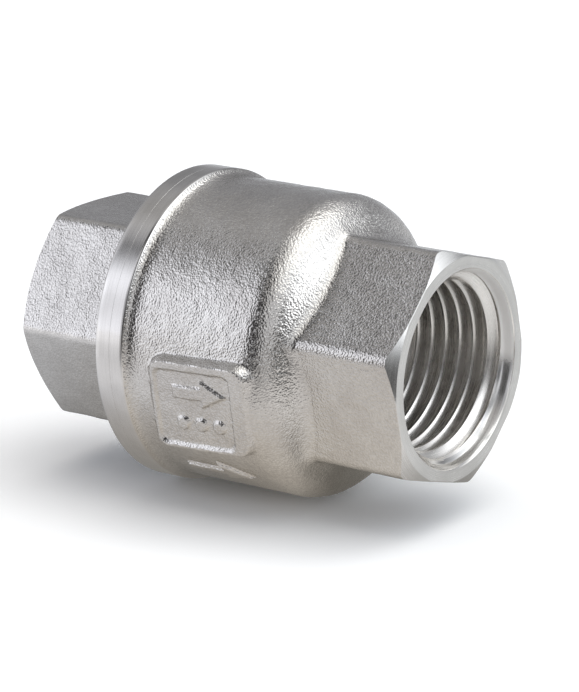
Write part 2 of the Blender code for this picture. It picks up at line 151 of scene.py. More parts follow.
def corner_zones(first, half_width, spacing):
    """Zones for angles() at the six corners of a hexagon."""
    corners = [first + 60 * k for k in range(6)]
    return [(corner - half_width, corner + half_width, spacing) for corner in corners]


def even_angles(count):
    return np.arange(count) * TAU / count


def uneven(x, theta, radius, seed):
    """Soft unevenness of a casting at each point."""
    shape = np.broadcast(x, theta, radius).shape
    x, theta, radius = (np.broadcast_to(part, shape).ravel() for part in (x, theta, radius))
    points = np.stack([x, radius * np.cos(theta), radius * np.sin(theta)], 1)
    points = points / UNEVEN_SIZE + seed
    heights = np.array([noise.fractal(Vector(point), 0.6, 2.1, 3) for point in points])
    return (heights * UNEVEN_HEIGHT).reshape(shape)


# ------------------------------------------------------------------ mesh tools

@contextmanager
def editing(mesh):
    shape = bmesh.new()
    shape.from_mesh(mesh)
    yield shape
    shape.to_mesh(mesh)
    shape.free()


def place(name, mesh):
    obj = bpy.data.objects.new(name, mesh)
    bpy.context.scene.collection.objects.link(obj)
    return obj


def place_shape(name, shape):
    """New object from a bmesh, which is freed."""
    mesh = bpy.data.meshes.new(name)
    shape.to_mesh(mesh)
    shape.free()
    return place(name, mesh)


def mesh_object(name, verts, corners, sizes, materials, sharp, skins=None):
    """Object from flat lists: corners holds the vertices of every face, sizes their counts."""
    mesh = bpy.data.meshes.new(name)
    mesh.vertices.add(len(verts))
    mesh.vertices.foreach_set("co", np.asarray(verts, np.float32).ravel())
    mesh.loops.add(len(corners))
    mesh.loops.foreach_set("vertex_index", np.asarray(corners, np.int32))
    mesh.polygons.add(len(sizes))
    starts = np.concatenate([[0], np.cumsum(sizes)[:-1]]).astype(np.int32)
    mesh.polygons.foreach_set("loop_start", starts)
    for material in materials:
        mesh.materials.append(material)
    if skins is not None:
        mesh.polygons.foreach_set("material_index", np.asarray(skins, np.int32))
    mesh.update(calc_edges=True)
    mesh.validate()
    mesh.shade_smooth()
    mesh.set_sharp_from_angle(angle=sharp * RAD)
    return place(name, mesh)


TURNED_SHARP = 26.0   # degrees


class Rows:
    """A closed surface of rows round the X axis. Each row has its own angles."""

    def __init__(self):
        self.rows, self.skins, self.splits = [], [], []

    def add(self, theta, x, radius, skin=0, split=None):
        """One row. skin is the material slot of the strip from this row to the next, and split
        marks the columns of that strip that are cut into triangles, along a helix rising with X."""
        x = np.broadcast_to(np.asarray(x, float), theta.shape)
        radius = np.broadcast_to(np.asarray(radius, float), theta.shape)
        self.rows.append((theta, x, radius))
        self.skins.append(skin)
        self.splits.append(split)

    def strip(self, i, j, row, following):
        """Face arrays between row i and row j, whose vertices start at row and following."""
        here, there = self.rows[i][0], self.rows[j][0]
        if len(here) != len(there):
            return [uneven_strip(here, there, row, following)]
        column = np.arange(len(here))
        after = (column + 1) % len(here)
        split = self.splits[i]
        whole = np.ones(len(here), bool) if split is None else ~split
        quads = np.stack([row + column, row + after, following + after, following + column], 1)
        if split is None:
            return [quads]
        low, low_next, high_next, high = quads[split].T
        if self.rows[j][1].mean() > self.rows[i][1].mean():
            pair = (low, low_next, high_next, low, high_next, high)
        else:
            pair = (low, low_next, high, low_next, high_next, high)
        return [quads[whole], np.stack(pair, 1).reshape(-1, 3)]

    def build(self, name, materials):
        starts, verts, total = [], [], 0
        for theta, x, radius in self.rows:
            starts.append(total)
            total += len(theta)
            verts.append(np.stack([x, radius * np.cos(theta), radius * np.sin(theta)], 1))
        corners, sizes, skins = [], [], []
        for i in range(len(self.rows)):
            j = (i + 1) % len(self.rows)
            for faces in self.strip(i, j, starts[i], starts[j]):
                corners.append(faces.ravel())
                sizes.append(np.full(len(faces), faces.shape[1]))
                skins.append(np.full(len(faces), self.skins[i]))
        return mesh_object(name, np.concatenate(verts) * MM, np.concatenate(corners),
                           np.concatenate(sizes), materials, TURNED_SHARP, np.concatenate(skins))


def uneven_strip(here, there, row, following):
    """Triangles between two rows with different numbers of columns."""
    def next_angle(theta, i):
        if i + 1 < len(theta):
            return theta[i + 1]
        return theta[0] + TAU if i < len(theta) else 1e9

    triangles = []
    i = j = 0
    while i < len(here) or j < len(there):
        near, far = row + i % len(here), following + j % len(there)
        if next_angle(here, i) <= next_angle(there, j):
            i += 1
            triangles.append((near, row + i % len(here), far))
        else:
            j += 1
            triangles.append((near, following + j % len(there), far))
    return np.array(triangles)


def rounded(points, radii, closed, steps=3):
    """Profile with each corner turned into a short arc. radii is one number or one per point."""
    count = len(points)
    radii = [radii] * count if np.isscalar(radii) else radii
    out = []
    for i, point in enumerate(points):
        if not closed and i in (0, count - 1) or radii[i] <= 0:
            out.append(tuple(point))
            continue
        point = np.array(point, float)
        back = np.array(points[i - 1], float) - point
        ahead = np.array(points[(i + 1) % count], float) - point
        back_length, ahead_length = np.linalg.norm(back), np.linalg.norm(ahead)
        back, ahead = back / back_length, ahead / ahead_length
        angle = math.acos(np.clip(back @ ahead, -1, 1))
        if angle > math.pi - 0.05:
            out.append(tuple(point))
            continue
        reach = min(radii[i] / math.tan(angle / 2), 0.45 * back_length, 0.45 * ahead_length)
        radius = reach * math.tan(angle / 2)
        middle = (back + ahead) / np.linalg.norm(back + ahead)
        centre = point + middle * radius / math.sin(angle / 2)
        start, end = point + back * reach - centre, point + ahead * reach - centre
        sweep = math.acos(np.clip(start @ end / (radius * radius), -1, 1))
        for k in range(steps + 1):
            part = k / steps
            arc = math.sin((1 - part) * sweep) * start + math.sin(part * sweep) * end
            out.append(tuple(centre + arc / math.sin(sweep)))
    return out


def lathe(name, profile, material, cols=96, edge=0.08, closed=True):
    """Turned piece from (x, radius) points. A closed profile is a ring; an open one starts and
    ends on the axis."""
    points = rounded(profile, edge, closed)
    theta = even_angles(cols)
    if closed:
        rows = Rows()
        for x, radius in points:
            rows.add(theta, x, radius)
        return rows.build(name, [material])
    verts, corners, sizes = [(points[0][0] * MM, 0, 0)], [], []
    middle = points[1:-1]
    for x, radius in middle:
        for angle in theta:
            verts.append((x * MM, radius * math.cos(angle) * MM, radius * math.sin(angle) * MM))
    verts.append((points[-1][0] * MM, 0, 0))
    for k in range(cols):
        after = (k + 1) % cols
        corners += [0, 1 + after, 1 + k]
        for i in range(len(middle) - 1):
            row, following = 1 + i * cols, 1 + (i + 1) * cols
            corners += [row + k, row + after, following + after, following + k]
        row = 1 + (len(middle) - 1) * cols
        corners += [row + k, row + after, len(verts) - 1]
        sizes += [3] + [4] * (len(middle) - 1) + [3]
    return mesh_object(name, verts, corners, sizes, [material], TURNED_SHARP)


# ------------------------------------------------------------------ materials

class Nodes:
    """Short names for building a node tree."""

    def __init__(self, tree):
        self.tree = tree

    def fill(self, node, inputs):
        """Link or set each input."""
        for key, value in inputs.items():
            if hasattr(value, "is_output"):
                self.tree.links.new(value, node.inputs[key])
            else:
                node.inputs[key].default_value = value

    def add(self, kind, inputs=None, **settings):
        node = self.tree.nodes.new(kind)
        for key, value in settings.items():
            setattr(node, key, value)
        self.fill(node, inputs or {})
        return node

    def coordinates(self, kind):
        return self.add("ShaderNodeTexCoord").outputs[kind]

    def split(self, vector):
        return self.add("ShaderNodeSeparateXYZ", {0: vector}).outputs

    def is_camera_ray(self):
        return self.add("ShaderNodeLightPath").outputs["Is Camera Ray"]

    def math(self, operation, first, second=0.0):
        inputs = {0: first, 1: second, 2: 0.0}
        return self.add("ShaderNodeMath", inputs, operation=operation).outputs[0]

    def times(self, first, second):
        inputs = {0: first, 1: second}
        return self.add("ShaderNodeVectorMath", inputs, operation="MULTIPLY").outputs[0]

    def length(self, first, second):
        squares = [self.math("MULTIPLY", side, side) for side in (first, second)]
        return self.math("SQRT", self.math("ADD", *squares))

    def vary(self, base, texture, amount):
        """base, moved up and down by a texture that is centred on 0.5."""
        shift = self.math("MULTIPLY", self.math("SUBTRACT", texture, 0.5), amount)
        return self.math("ADD", base, shift)

    def weighted(self, *parts):
        """Sum of (texture, weight) pairs."""
        total = None
        for texture, weight in parts:
            term = self.math("MULTIPLY", texture, weight)
            total = term if total is None else self.math("ADD", total, term)
        return total

    def ramp(self, value, between, to=(0.0, 1.0), kind="SMOOTHSTEP"):
        inputs = {"Value": value, "From Min": between[0], "From Max": between[1],
                  "To Min": to[0], "To Max": to[1]}
        return self.add("ShaderNodeMapRange", inputs, interpolation_type=kind).outputs[0]

    def mix(self, factor, first, second):
        first, second = (
            (*colour, 1.0) if isinstance(colour, tuple) else colour for colour in (first, second))
        inputs = {0: factor, 6: first, 7: second}
        return self.add("ShaderNodeMix", inputs, data_type="RGBA").outputs[2]

    def noise(self, vector, scale, detail, roughness):
        inputs = {"Vector": vector, "Scale": scale, "Detail": detail, "Roughness": roughness}
        return self.add("ShaderNodeTexNoise", inputs).outputs["Fac"]

    def bump(self, height, strength, distance):
        inputs = {"Height": height, "Strength": strength, "Distance": distance}
        return self.add("ShaderNodeBump", inputs).outputs["Normal"]


def new_material(name):
    material = bpy.data.materials.new(name)
    material.use_nodes = True
    tree = material.node_tree
    return material, Nodes(tree), tree.nodes["Principled BSDF"]


def darker(colour, factor):
    return tuple(channel * factor for channel in colour)


def cast_metal(name, dark, light, grain):
    """Bead-blasted investment casting: pebbled skin, fine grain, faint stains, and painted shade in
    the pebbles' hollows.
    """
    material, nodes, shader = new_material(name)
    at = nodes.coordinates("Object")
    pebble = nodes.add(
        "ShaderNodeTexVoronoi",
        {"Vector": at, "Scale": 4400.0, "Smoothness": 0.5, "Randomness": 1.0},
        feature="SMOOTH_F1",
    ).outputs["Distance"]
    fine = nodes.noise(at, scale=7000.0, detail=1.0, roughness=0.5)
    medium = nodes.noise(at, scale=2100.0, detail=2.0, roughness=0.5)
    broad = nodes.noise(at, scale=160.0, detail=3.0, roughness=0.6)
    height = nodes.weighted((pebble, -0.9), (fine, 0.45), (medium, 0.7))
    colour = nodes.mix(nodes.ramp(broad, between=(0.3, 0.7)), dark, light)
    pit = nodes.ramp(medium, between=(0.22, 0.42), to=(0.82, 1.0))
    colour = nodes.mix(pit, darker(dark, 0.6), colour)
    # Painted shade: colour darker in the hollows of the pebbled grain and a little lighter on its
    # tops.
    painted_hollow_shade = nodes.ramp(height, between=(-0.10, 0.50), to=(0.90, 1.02))
    nodes.fill(shader, {
        "Normal": nodes.bump(height, strength=1.0, distance=0.000043 * grain),
        "Base Color": nodes.times(colour, painted_hollow_shade),
        "Roughness": nodes.vary(nodes.vary(0.13, fine, amount=0.12), broad, amount=0.10),
        "Metallic": 1.0,
    })
    return material


def turned_metal(name, dark, light, rough, depth=1.0, aniso=0.45, ring_scale=9000.0, painted_reflection=None):
    """Machined metal: fine rings round the X axis, left by the tool. depth scales the rings.
    Between the two angles of the last argument, in degrees round the axis, the skin is matt, mostly
    non-metallic and off-white: a painted reflection."""
    material, nodes, shader = new_material(name)
    at = nodes.coordinates("Object")
    parts = nodes.split(at)
    radius = nodes.length(parts[1], parts[2])
    angle = nodes.math("ARCTAN2", parts[2], parts[1])
    # The angle counts for little, so the noise is drawn out into rings.
    around = nodes.math("MULTIPLY", angle, 0.00012)
    rings = nodes.add("ShaderNodeCombineXYZ", {0: parts[0], 1: radius, 2: around}).outputs[0]
    groove = nodes.noise(rings, scale=ring_scale, detail=3.0, roughness=0.65)
    wide = nodes.noise(rings, scale=1400.0, detail=3.0, roughness=0.6)
    smear = nodes.noise(at, scale=240.0, detail=3.0, roughness=0.6)
    stretched = nodes.times(at, (1.0, 7.0, 3.0))
    scratch = nodes.noise(stretched, scale=900.0, detail=4.0, roughness=0.7)
    height = nodes.weighted((groove, 1.0), (wide, 1.2), (scratch, 0.35))
    colour = nodes.mix(nodes.ramp(smear, between=(0.3, 0.7)), dark, light)
    stain = nodes.ramp(wide, between=(0.3, 0.75), to=(0.0, 0.35))
    colour = nodes.mix(stain, colour, darker(dark, 0.8))
    roughness = nodes.vary(nodes.vary(rough, groove, amount=0.2), smear, amount=0.15)
    shader.inputs["Metallic"].default_value = 1.0
    # Painted reflection: a pale, matt, mostly non-metallic sector of the skin between the two
    # angles.
    if painted_reflection:
        start, end = painted_reflection
        edge = nodes.vary(angle, smear, amount=0.12)
        reflection_patch = nodes.math(
            "MULTIPLY",
            nodes.ramp(edge, between=((start - 5) * RAD, (start + 5) * RAD)),
            nodes.ramp(edge, between=(end * RAD, (end - 25) * RAD)))
        strength = 0.85
        roughness = nodes.math("ADD", roughness, nodes.math("MULTIPLY", reflection_patch, 0.35))
        metallic = nodes.math("SUBTRACT", 1.0, nodes.math("MULTIPLY", reflection_patch, strength))
        nodes.fill(shader, {"Metallic": metallic})
        # Off-white colour of the painted reflection.
        colour = nodes.mix(nodes.math("MULTIPLY", reflection_patch, strength), colour, (0.96, 0.945, 0.92))
    tangent = nodes.add("ShaderNodeTangent", direction_type="RADIAL", axis="X")
    nodes.fill(shader, {
        "Normal": nodes.bump(height, strength=0.55, distance=0.0000075 * depth),
        "Base Color": colour,
        "Roughness": roughness,
        # The grooves run round the axis, so light spreads along it.
        "Anisotropic": aniso,
        "Anisotropic Rotation": 0.25,
        "Tangent": tangent.outputs[0],
    })
    return material


def seal_plastic(name, dark, light, rough):
    """PTFE: waxy, with faint turning rings and specks."""
    material, nodes, shader = new_material(name)
    at = nodes.coordinates("Object")
    parts = nodes.split(at)
    radius = nodes.length(parts[1], parts[2])
    along = nodes.add("ShaderNodeCombineXYZ", {0: parts[0], 1: radius}).outputs[0]
    rings = nodes.noise(along, scale=6000.0, detail=2.0, roughness=0.6)
    cloud = nodes.noise(at, scale=420.0, detail=4.0, roughness=0.6)
    speck = nodes.noise(at, scale=3600.0, detail=2.0, roughness=0.5)
    colour = nodes.mix(nodes.ramp(cloud, between=(0.3, 0.7)), dark, light)
    specks = nodes.ramp(speck, between=(0.62, 0.75), to=(0.0, 0.5))
    height = nodes.weighted((rings, 1.0), (speck, 0.5))
    nodes.fill(shader, {
        "Base Color": nodes.mix(specks, colour, darker(dark, 0.72)),
        "Normal": nodes.bump(height, strength=0.5, distance=0.000012),
        "Roughness": nodes.vary(rough, cloud, amount=0.2),
        "Subsurface Weight": 0.15,
        "Subsurface Radius": (0.001, 0.0009, 0.0008),
        "Subsurface Scale": 1.0,
    })
    return material


# Each has its dark colour, then its light one.
CAST = cast_metal("cast_steel_body", (0.62, 0.595, 0.565), (0.70, 0.68, 0.65), grain=1.2)
CAST_CAP = cast_metal("cast_steel_cap", (0.615, 0.595, 0.57), (0.70, 0.68, 0.655), grain=0.95)
TURNED = turned_metal("turned_steel", (0.63, 0.61, 0.585), (0.71, 0.69, 0.665), rough=0.15)
TURNED_FACE = turned_metal(
    "turned_face", (0.62, 0.61, 0.59), (0.68, 0.67, 0.65), rough=0.24, depth=1.4)
# The mouth wall carries a painted reflection from -8 to 100 degrees round the axis.
MOUTH_WALL = turned_metal(
    "turned_mouth", (0.60, 0.59, 0.575), (0.68, 0.67, 0.655),
    rough=0.17, depth=2.5, aniso=0.7, ring_scale=5200.0, painted_reflection=(-8, 100))
# Lighter than the other turned steel, to lift the shaded bore: painted light.
THREAD = turned_metal(
    "thread_steel_painted_light", (0.76, 0.735, 0.70), (0.85, 0.825, 0.79), rough=0.27, depth=1.2, aniso=0.5)
SMALL_TURNED = turned_metal(
    "turned_small_parts", (0.60, 0.59, 0.575), (0.69, 0.68, 0.66), rough=0.18)
STAMPED = turned_metal(
    "satin_steel", (0.52, 0.515, 0.50), (0.60, 0.595, 0.58), rough=0.30, depth=1.2, aniso=0.1)
WIRE = turned_metal(
    "spring_wire", (0.50, 0.50, 0.50), (0.60, 0.60, 0.60), rough=0.16, depth=0.7, aniso=0.1)
PTFE = seal_plastic("ptfe_white", (0.80, 0.79, 0.75), (0.90, 0.89, 0.86), rough=0.48)
PTFE_GREY = seal_plastic("ptfe_filled", (0.20, 0.19, 0.18), (0.29, 0.28, 0.27), rough=0.5)

# Material slots of the body and the cap.
SKIN_CAST, SKIN_TURNED, SKIN_FACE, SKIN_THREAD, SKIN_MOUTH = range(5)


# ------------------------------------------------------------------ threads and mouths

def thread_profile(phase, minor, major):
    """Radius of an internal thread: smallest (the crest) at whole numbers of pitches."""
    triangle = 1 - 4 * np.abs(np.mod(phase + 0.5, 1.0) - 0.5)
    wave = -1.5 * triangle
    wave = wave / (1 + np.abs(wave) ** 8) ** 0.125
    return (minor + major) / 2 + (major - minor) / 2 * wave


def add_thread(rows, stations, minor, major, pitch, start, per_pitch, shape, skin):
    """Rows of a right-hand thread on the bore columns. Points move along X to lie on the helices
    of a grid with per_pitch rows to a turn, and the columns where the row changes helix are split.
    shape turns places and thread radii into final radii. skin is a slot, or gives it from x."""
    for x in stations:
        phase = (x - start) / pitch - BORE_ANGLES / TAU
        helix = np.round(phase * per_pitch)
        at = x + (helix / per_pitch - phase) * pitch
        change = np.mod(np.roll(helix, -1) - helix, per_pitch) != 0
        radius = shape(at, thread_profile(helix / per_pitch, minor, major))
        rows.add(BORE_ANGLES, at, radius, skin(x) if callable(skin) else skin, change)
    rows.splits[-1] = None


def bore_entry(depth):
    """Radius of the mouth at a depth from the end face: slight taper, then 45 degree lead-in."""
    narrow = MOUTH - MOUTH_TAPER
    return np.interp(
        depth, [0.0, 1.1, 1.1 + narrow - MINOR, 30.0], [MOUTH, narrow, MINOR, MINOR])


def pipe_thread(radius, depth, runout):
    """Pipe thread fading out at its inner end, and opened at its mouth."""
    deep = MINOR + (MAJOR - MINOR) * runout
    return np.maximum(np.minimum(radius, deep), bore_entry(depth))


BORE_ANGLES = even_angles(176)

# ------------------------------------------------------------------ body

# Raised tray on the front: angle round the axis, middle in X, width, height.
TRAY_AT, TRAY_X, TRAY_W, TRAY_H = 193.3, 11.3, 12.3, 10.5
TRAY_TOP, TRAY_FLOOR = 17.1, 16.80
TRAY_ARROW = [(-3.4, 0.95), (0.4, 0.95), (0.4, 0.05), (3.5, 1.7), (0.4, 3.35), (0.4, 2.45),
              (-3.4, 2.45)]
# Flow arrow below the tray: angle, tail in X, outline, height.
ARROW_AT, ARROW_X, ARROW_HEIGHT = 227.0, 6.1, 0.38
FLOW_ARROW = [(0.0, -0.45), (4.9, -0.45), (4.4, -1.6), (8.8, 0.0), (4.4, 1.6), (4.9, 0.45),
              (0.0, 0.45)]
SHOULDER_FROM, SHOULDER_TO = 17.4, 22.9   # where the rows follow the shoulder's length
BODY_SEED, CAP_SEED = 11.0, 47.0
# Body bore from thread to cap socket: x, radius.
BODY_BORE = [(19.75, MINOR), (19.5, MINOR), (18.5, 11.2), (18.0, 11.2), (18.0, 12.8),
             (15.7, 12.8), (15.7, 13.6), (14.45, 13.6), (14.45, 12.8), (7.3, 12.8), (7.3, 14.2),
             (6.9, SOCKET_R), (6.6, SOCKET_R)]


def shoulder_radius(x):
    """The casting's turned form: cylinder, rounded shoulder, cone."""
    end_x = SHOULDER_X + SHOULDER_R * math.sin(SLOPE * RAD)
    end_r = BODY_R - SHOULDER_R + SHOULDER_R * math.cos(SLOPE * RAD)
    square = SHOULDER_R ** 2 - np.clip(x - SHOULDER_X, 0, None) ** 2
    arc = BODY_R - SHOULDER_R + np.sqrt(np.maximum(square, 0))
    cone = np.maximum(end_r - (x - end_x) * math.tan(SLOPE * RAD), 5.0)
    return np.where(x < SHOULDER_X, BODY_R, np.where(x < end_x, arc, cone))


def tray_height(along, across):
    """Height above the axis of the tray with its arrow and three dots, and distance from its
    outline, over its own plane."""
    x, y = along - 0.06 * across, across - 0.05 * along
    outline = box_distance(x, y, TRAY_W, TRAY_H, 1.5)
    top = smooth_min(np.full(outline.shape, TRAY_TOP), TRAY_TOP - 1.8 * outline, 0.26)
    recess = box_distance(x + 0.65, y + 0.25, 10.1, 9.3, 1.0)
    floor_height = np.full(outline.shape, TRAY_FLOOR)
    height = smooth_min(top, smooth_max(floor_height, TRAY_TOP + 1.3 * recess, 0.12), 0.10)
    marks = polygon_distance(x, y, TRAY_ARROW)
    for i in (-1, 0, 1):
        marks = np.minimum(marks, np.hypot(x - 2.4 * i, y + 2.1) - 0.78)
    raised = TRAY_FLOOR + 0.30 * step(0.16, -0.16, marks)
    return smooth_max(height, np.where(marks < 0.5, raised, 0.0), 0.03), outline


def angle_from(theta, middle):
    """Signed angle from a middle given in degrees."""
    return np.mod(theta - middle * RAD + math.pi, TAU) - math.pi


def body_radius(x, theta):
    flats = hexagon(theta, OUT_FLAT, OUT_PHASE, OUT_ROUND)
    radius = smooth_max(shoulder_radius(x), flats, 1.5)
    turn = angle_from(theta, TRAY_AT)
    near = np.abs(turn) < 32 * RAD
    turn = np.where(near, turn, 0)
    height, outline = tray_height(x - TRAY_X, -17.0 * np.tan(turn))
    width = np.where(outline > -0.25, 0.32, 0.02)
    with_tray = smooth_max(radius, height / np.cos(turn), width)
    radius = np.where(near & (outline < 2.0), with_tray, radius)
    across = angle_from(theta, ARROW_AT) * -16.8
    outline = polygon_distance(x - ARROW_X, across, FLOW_ARROW)
    return radius + ARROW_HEIGHT * step(0.22, -0.22, outline) * (np.abs(across) < 6)


def spaced(start, end, size):
    return np.linspace(start, end, max(2, int(round(abs(end - start) / size)) + 1))


def body_stations():
    """Places in X of the cast rows, evenly spaced along the shoulder's curve."""
    fine = np.linspace(SHOULDER_FROM, SHOULDER_TO, 400)
    lengths = np.hypot(np.diff(fine), np.diff(shoulder_radius(fine)))
    length = np.concatenate([[0], np.cumsum(lengths)])
    shoulder = np.interp(np.linspace(0, length[-1], 34)[1:], length, fine)
    return [*spaced(3.6, 5.1, 0.35), *spaced(5.25, SHOULDER_FROM, 0.165), *shoulder]


def build_body():
    body = Rows()
    outer = angles(1.15, [(168, 236, 0.5)] + corner_zones(OUT_PHASE + 30, 4.2, 0.6))

    # Turned rim, from the joint face outwards: x, radius, slot.
    body.add(BORE_ANGLES, SEAM, 15.3, SKIN_FACE)
    for x, radius, skin in (
        (SEAM, FLANGE_R - 0.20, SKIN_TURNED),
        (SEAM, FLANGE_R - 0.01, SKIN_TURNED),
        (SEAM + 0.01, FLANGE_R, SKIN_TURNED),
        (0.45, FLANGE_R, SKIN_TURNED),
        (0.9, FLANGE_R, SKIN_TURNED),
        (1.3, FLANGE_R, SKIN_TURNED),
        (1.58, FLANGE_R, SKIN_TURNED),
        (1.67, FLANGE_R - 0.03, SKIN_TURNED),
        (1.72, FLANGE_R - 0.12, SKIN_CAST),
    ):
        body.add(outer, x, radius, skin)
    # Concave root, cast.
    for angle in np.linspace(8, 82, 9) * RAD:
        root_r = BODY_R + 0.60 * (1 - math.sin(angle))
        body.add(outer, 1.80 + 1.65 * (1 - math.cos(angle)), root_r, SKIN_CAST)

    # Cast skin, then the flats out to the chamfer.
    for x in body_stations():
        radius = body_radius(np.full(outer.shape, x), outer)
        body.add(outer, x, radius + uneven(x, outer, radius, BODY_SEED), SKIN_CAST)
    flats = hexagon(outer, OUT_FLAT, OUT_PHASE, OUT_ROUND)
    face = np.minimum(OUT_FACE, flats - 0.07)
    crease = np.minimum(OUT_X - (flats - OUT_FACE) * CHAMFER, OUT_X - 0.07)
    for part in np.linspace(0, 1, 16)[1:]:
        x = SHOULDER_TO + (crease - SHOULDER_TO) * part
        radius = np.maximum(body_radius(x, outer), flats)
        skin = uneven(x, outer, radius, BODY_SEED) * (1 - step(0.9, 1.0, part))
        body.add(outer, x, radius + skin, SKIN_CAST)
    body.skins[-1] = SKIN_FACE
    for part in (0.33, 0.66):
        x = crease + (OUT_X - crease) * part
        body.add(outer, x, flats + (face - flats) * part, SKIN_FACE)
    body.add(outer, OUT_X, face, SKIN_FACE)

    # Outlet mouth and thread.
    body.add(BORE_ANGLES, OUT_X, MOUTH + MOUTH_EDGE, SKIN_THREAD)
    body.add(BORE_ANGLES, OUT_X - 0.09, MOUTH, SKIN_MOUTH)
    for depth in (*MOUTH_DEPTHS, 1.13):
        body.add(BORE_ANGLES, OUT_X - depth, bore_entry(depth), SKIN_MOUTH)
    add_thread(
        body, np.arange(OUT_X - 1.24, 19.9, -PITCH / 16), MINOR, MAJOR, PITCH,
        start=31.07, per_pitch=16,
        shape=lambda x, radius: pipe_thread(radius, OUT_X - x, step(19.9, 21.4, x)),
        skin=lambda x: SKIN_MOUTH if OUT_X - x < 1.4 else SKIN_THREAD)
    for x, radius in rounded(BODY_BORE, 0.08, closed=False, steps=2):
        body.add(BORE_ANGLES, x, radius, SKIN_FACE)
    # Socket thread for the cap.
    add_thread(
        body, np.arange(6.45, 1.1, -0.15), SOCKET_MINOR, SOCKET_R, JOINT_PITCH,
        start=JOINT_START, per_pitch=10,
        shape=lambda x, radius: SOCKET_R + (radius - SOCKET_R) * step(6.5, 6.0, x),
        skin=SKIN_FACE)
    body.add(BORE_ANGLES, 0.55, 15.1, SKIN_FACE)
    return body.build("valve_body", [CAST, TURNED, TURNED_FACE, THREAD, MOUTH_WALL])


# ------------------------------------------------------------------ end cap

# Cap bore from the spigot's end to the inlet thread: x, radius, corner radius.
CAP_BORE = [
    (5.45, 14.05, 0), (6.0, 13.75, 0.1), (6.0, 12.6, 0.1), (0.2, 12.6, 0.25), (0.2, 8.9, 0.25),
    (1.0, 8.9, 0.18), (1.0, 7.5, 0.18), (-3.6, 7.5, 0.3), (-4.6, MINOR, 0.1), (-4.75, MINOR, 0),
]
CAP_ROOT = 0.7          # fillet between hexagon and flange
FLANGE_ROUND = 0.38     # rounded outer edge of the flange


def build_cap():
    cap = Rows()
    outer = angles(1.3, corner_zones(IN_PHASE + 30, 3.8, 0.6))
    flats = hexagon(outer, IN_FLAT, IN_PHASE, IN_ROUND)
    face = np.minimum(IN_FACE, flats - 0.05)
    crease = np.maximum(IN_X + (flats - IN_FACE) * CHAMFER, IN_X + 0.07)

    # Inlet face, chamfer and cast hexagon.
    cap.add(BORE_ANGLES, IN_X, MOUTH + MOUTH_EDGE, SKIN_FACE)
    cap.add(outer, IN_X, face, SKIN_TURNED)
    for part in (0.25, 0.5, 0.75):
        x = IN_X + (crease - IN_X) * part
        cap.add(outer, x, face + (flats - face) * part, SKIN_TURNED)
    cap.add(outer, crease, flats, SKIN_CAST)
    for part in np.linspace(0, 1, 34)[1:]:
        x = crease + (FLANGE_X - CAP_ROOT - crease) * part
        skin = uneven(x, outer, flats, CAP_SEED) * float(step(0.0, 0.08, part))
        cap.add(outer, x, flats + skin, SKIN_CAST)
    for angle in np.linspace(0, 90, 7)[1:] * RAD:
        x = FLANGE_X - CAP_ROOT + CAP_ROOT * math.sin(angle)
        cap.add(outer, x, flats + CAP_ROOT * (1 - math.cos(angle)), SKIN_CAST)
    cap.skins[-1] = SKIN_FACE

    # Flange: back face, rounded edge, rim, joint face.
    for part in (0.3, 0.65, 0.95):
        radius = (flats + CAP_ROOT) + (17.1 - flats - CAP_ROOT) * part
        cap.add(outer, FLANGE_X, radius, SKIN_FACE)
    for angle in np.linspace(0, 90, 6) * RAD:
        x = FLANGE_X + FLANGE_ROUND * (1 - math.cos(angle))
        radius = FLANGE_R - FLANGE_ROUND + FLANGE_ROUND * math.sin(angle)
        cap.add(outer, x, radius, SKIN_TURNED)
    for x in (-1.3, -0.9, -0.5, -SEAM - 0.01):
        cap.add(outer, x, FLANGE_R, SKIN_TURNED)
    cap.add(outer, -SEAM, FLANGE_R - 0.01, SKIN_FACE)

    # Threaded spigot, bore and inlet thread.
    cap.add(BORE_ANGLES, -SEAM, 14.5, SKIN_FACE)
    cap.add(BORE_ANGLES, -SEAM + 0.05, SPIGOT_MINOR, SKIN_FACE)
    add_thread(
        cap, np.arange(0.45, 5.3, 0.15), SPIGOT_MINOR, SPIGOT_MAJOR, JOINT_PITCH,
        start=JOINT_START, per_pitch=10,
        shape=lambda x, radius: SPIGOT_MINOR
        + (radius - SPIGOT_MINOR) * step(0.5, 1.2, x) * step(5.5, 4.9, x),
        skin=SKIN_FACE)
    corner_radii = [entry[2] for entry in CAP_BORE]
    for x, radius in rounded([entry[:2] for entry in CAP_BORE], corner_radii, closed=False):
        cap.add(BORE_ANGLES, x, radius, SKIN_FACE)
    add_thread(
        cap, np.arange(-4.95, IN_X + 1.2, -PITCH / 14), MINOR, MAJOR, PITCH,
        start=-12.0, per_pitch=14,
        shape=lambda x, radius: pipe_thread(radius, x - IN_X, step(-4.9, -6.4, x)),
        skin=SKIN_THREAD)
    for depth in (1.12, *reversed(MOUTH_DEPTHS)):
        cap.add(BORE_ANGLES, IN_X + depth, bore_entry(depth), SKIN_MOUTH)
    cap.add(BORE_ANGLES, IN_X + 0.09, MOUTH, SKIN_THREAD)
    obj = cap.build("inlet_cap", [CAST_CAP, TURNED, TURNED_FACE, THREAD, MOUTH_WALL])
    with editing(obj.data) as shape:
        bmesh.ops.dissolve_degenerate(shape, edges=shape.edges, dist=1e-7)
    return obj


body = build_body()
cap = build_cap()

# ------------------------------------------------------------------ turned small parts


def ring(name, x0, x1, inner, outer, material, edge):
    profile = [(x0, inner), (x0, outer), (x1, outer), (x1, inner)]
    return lathe(name, profile, material, 128, edge)


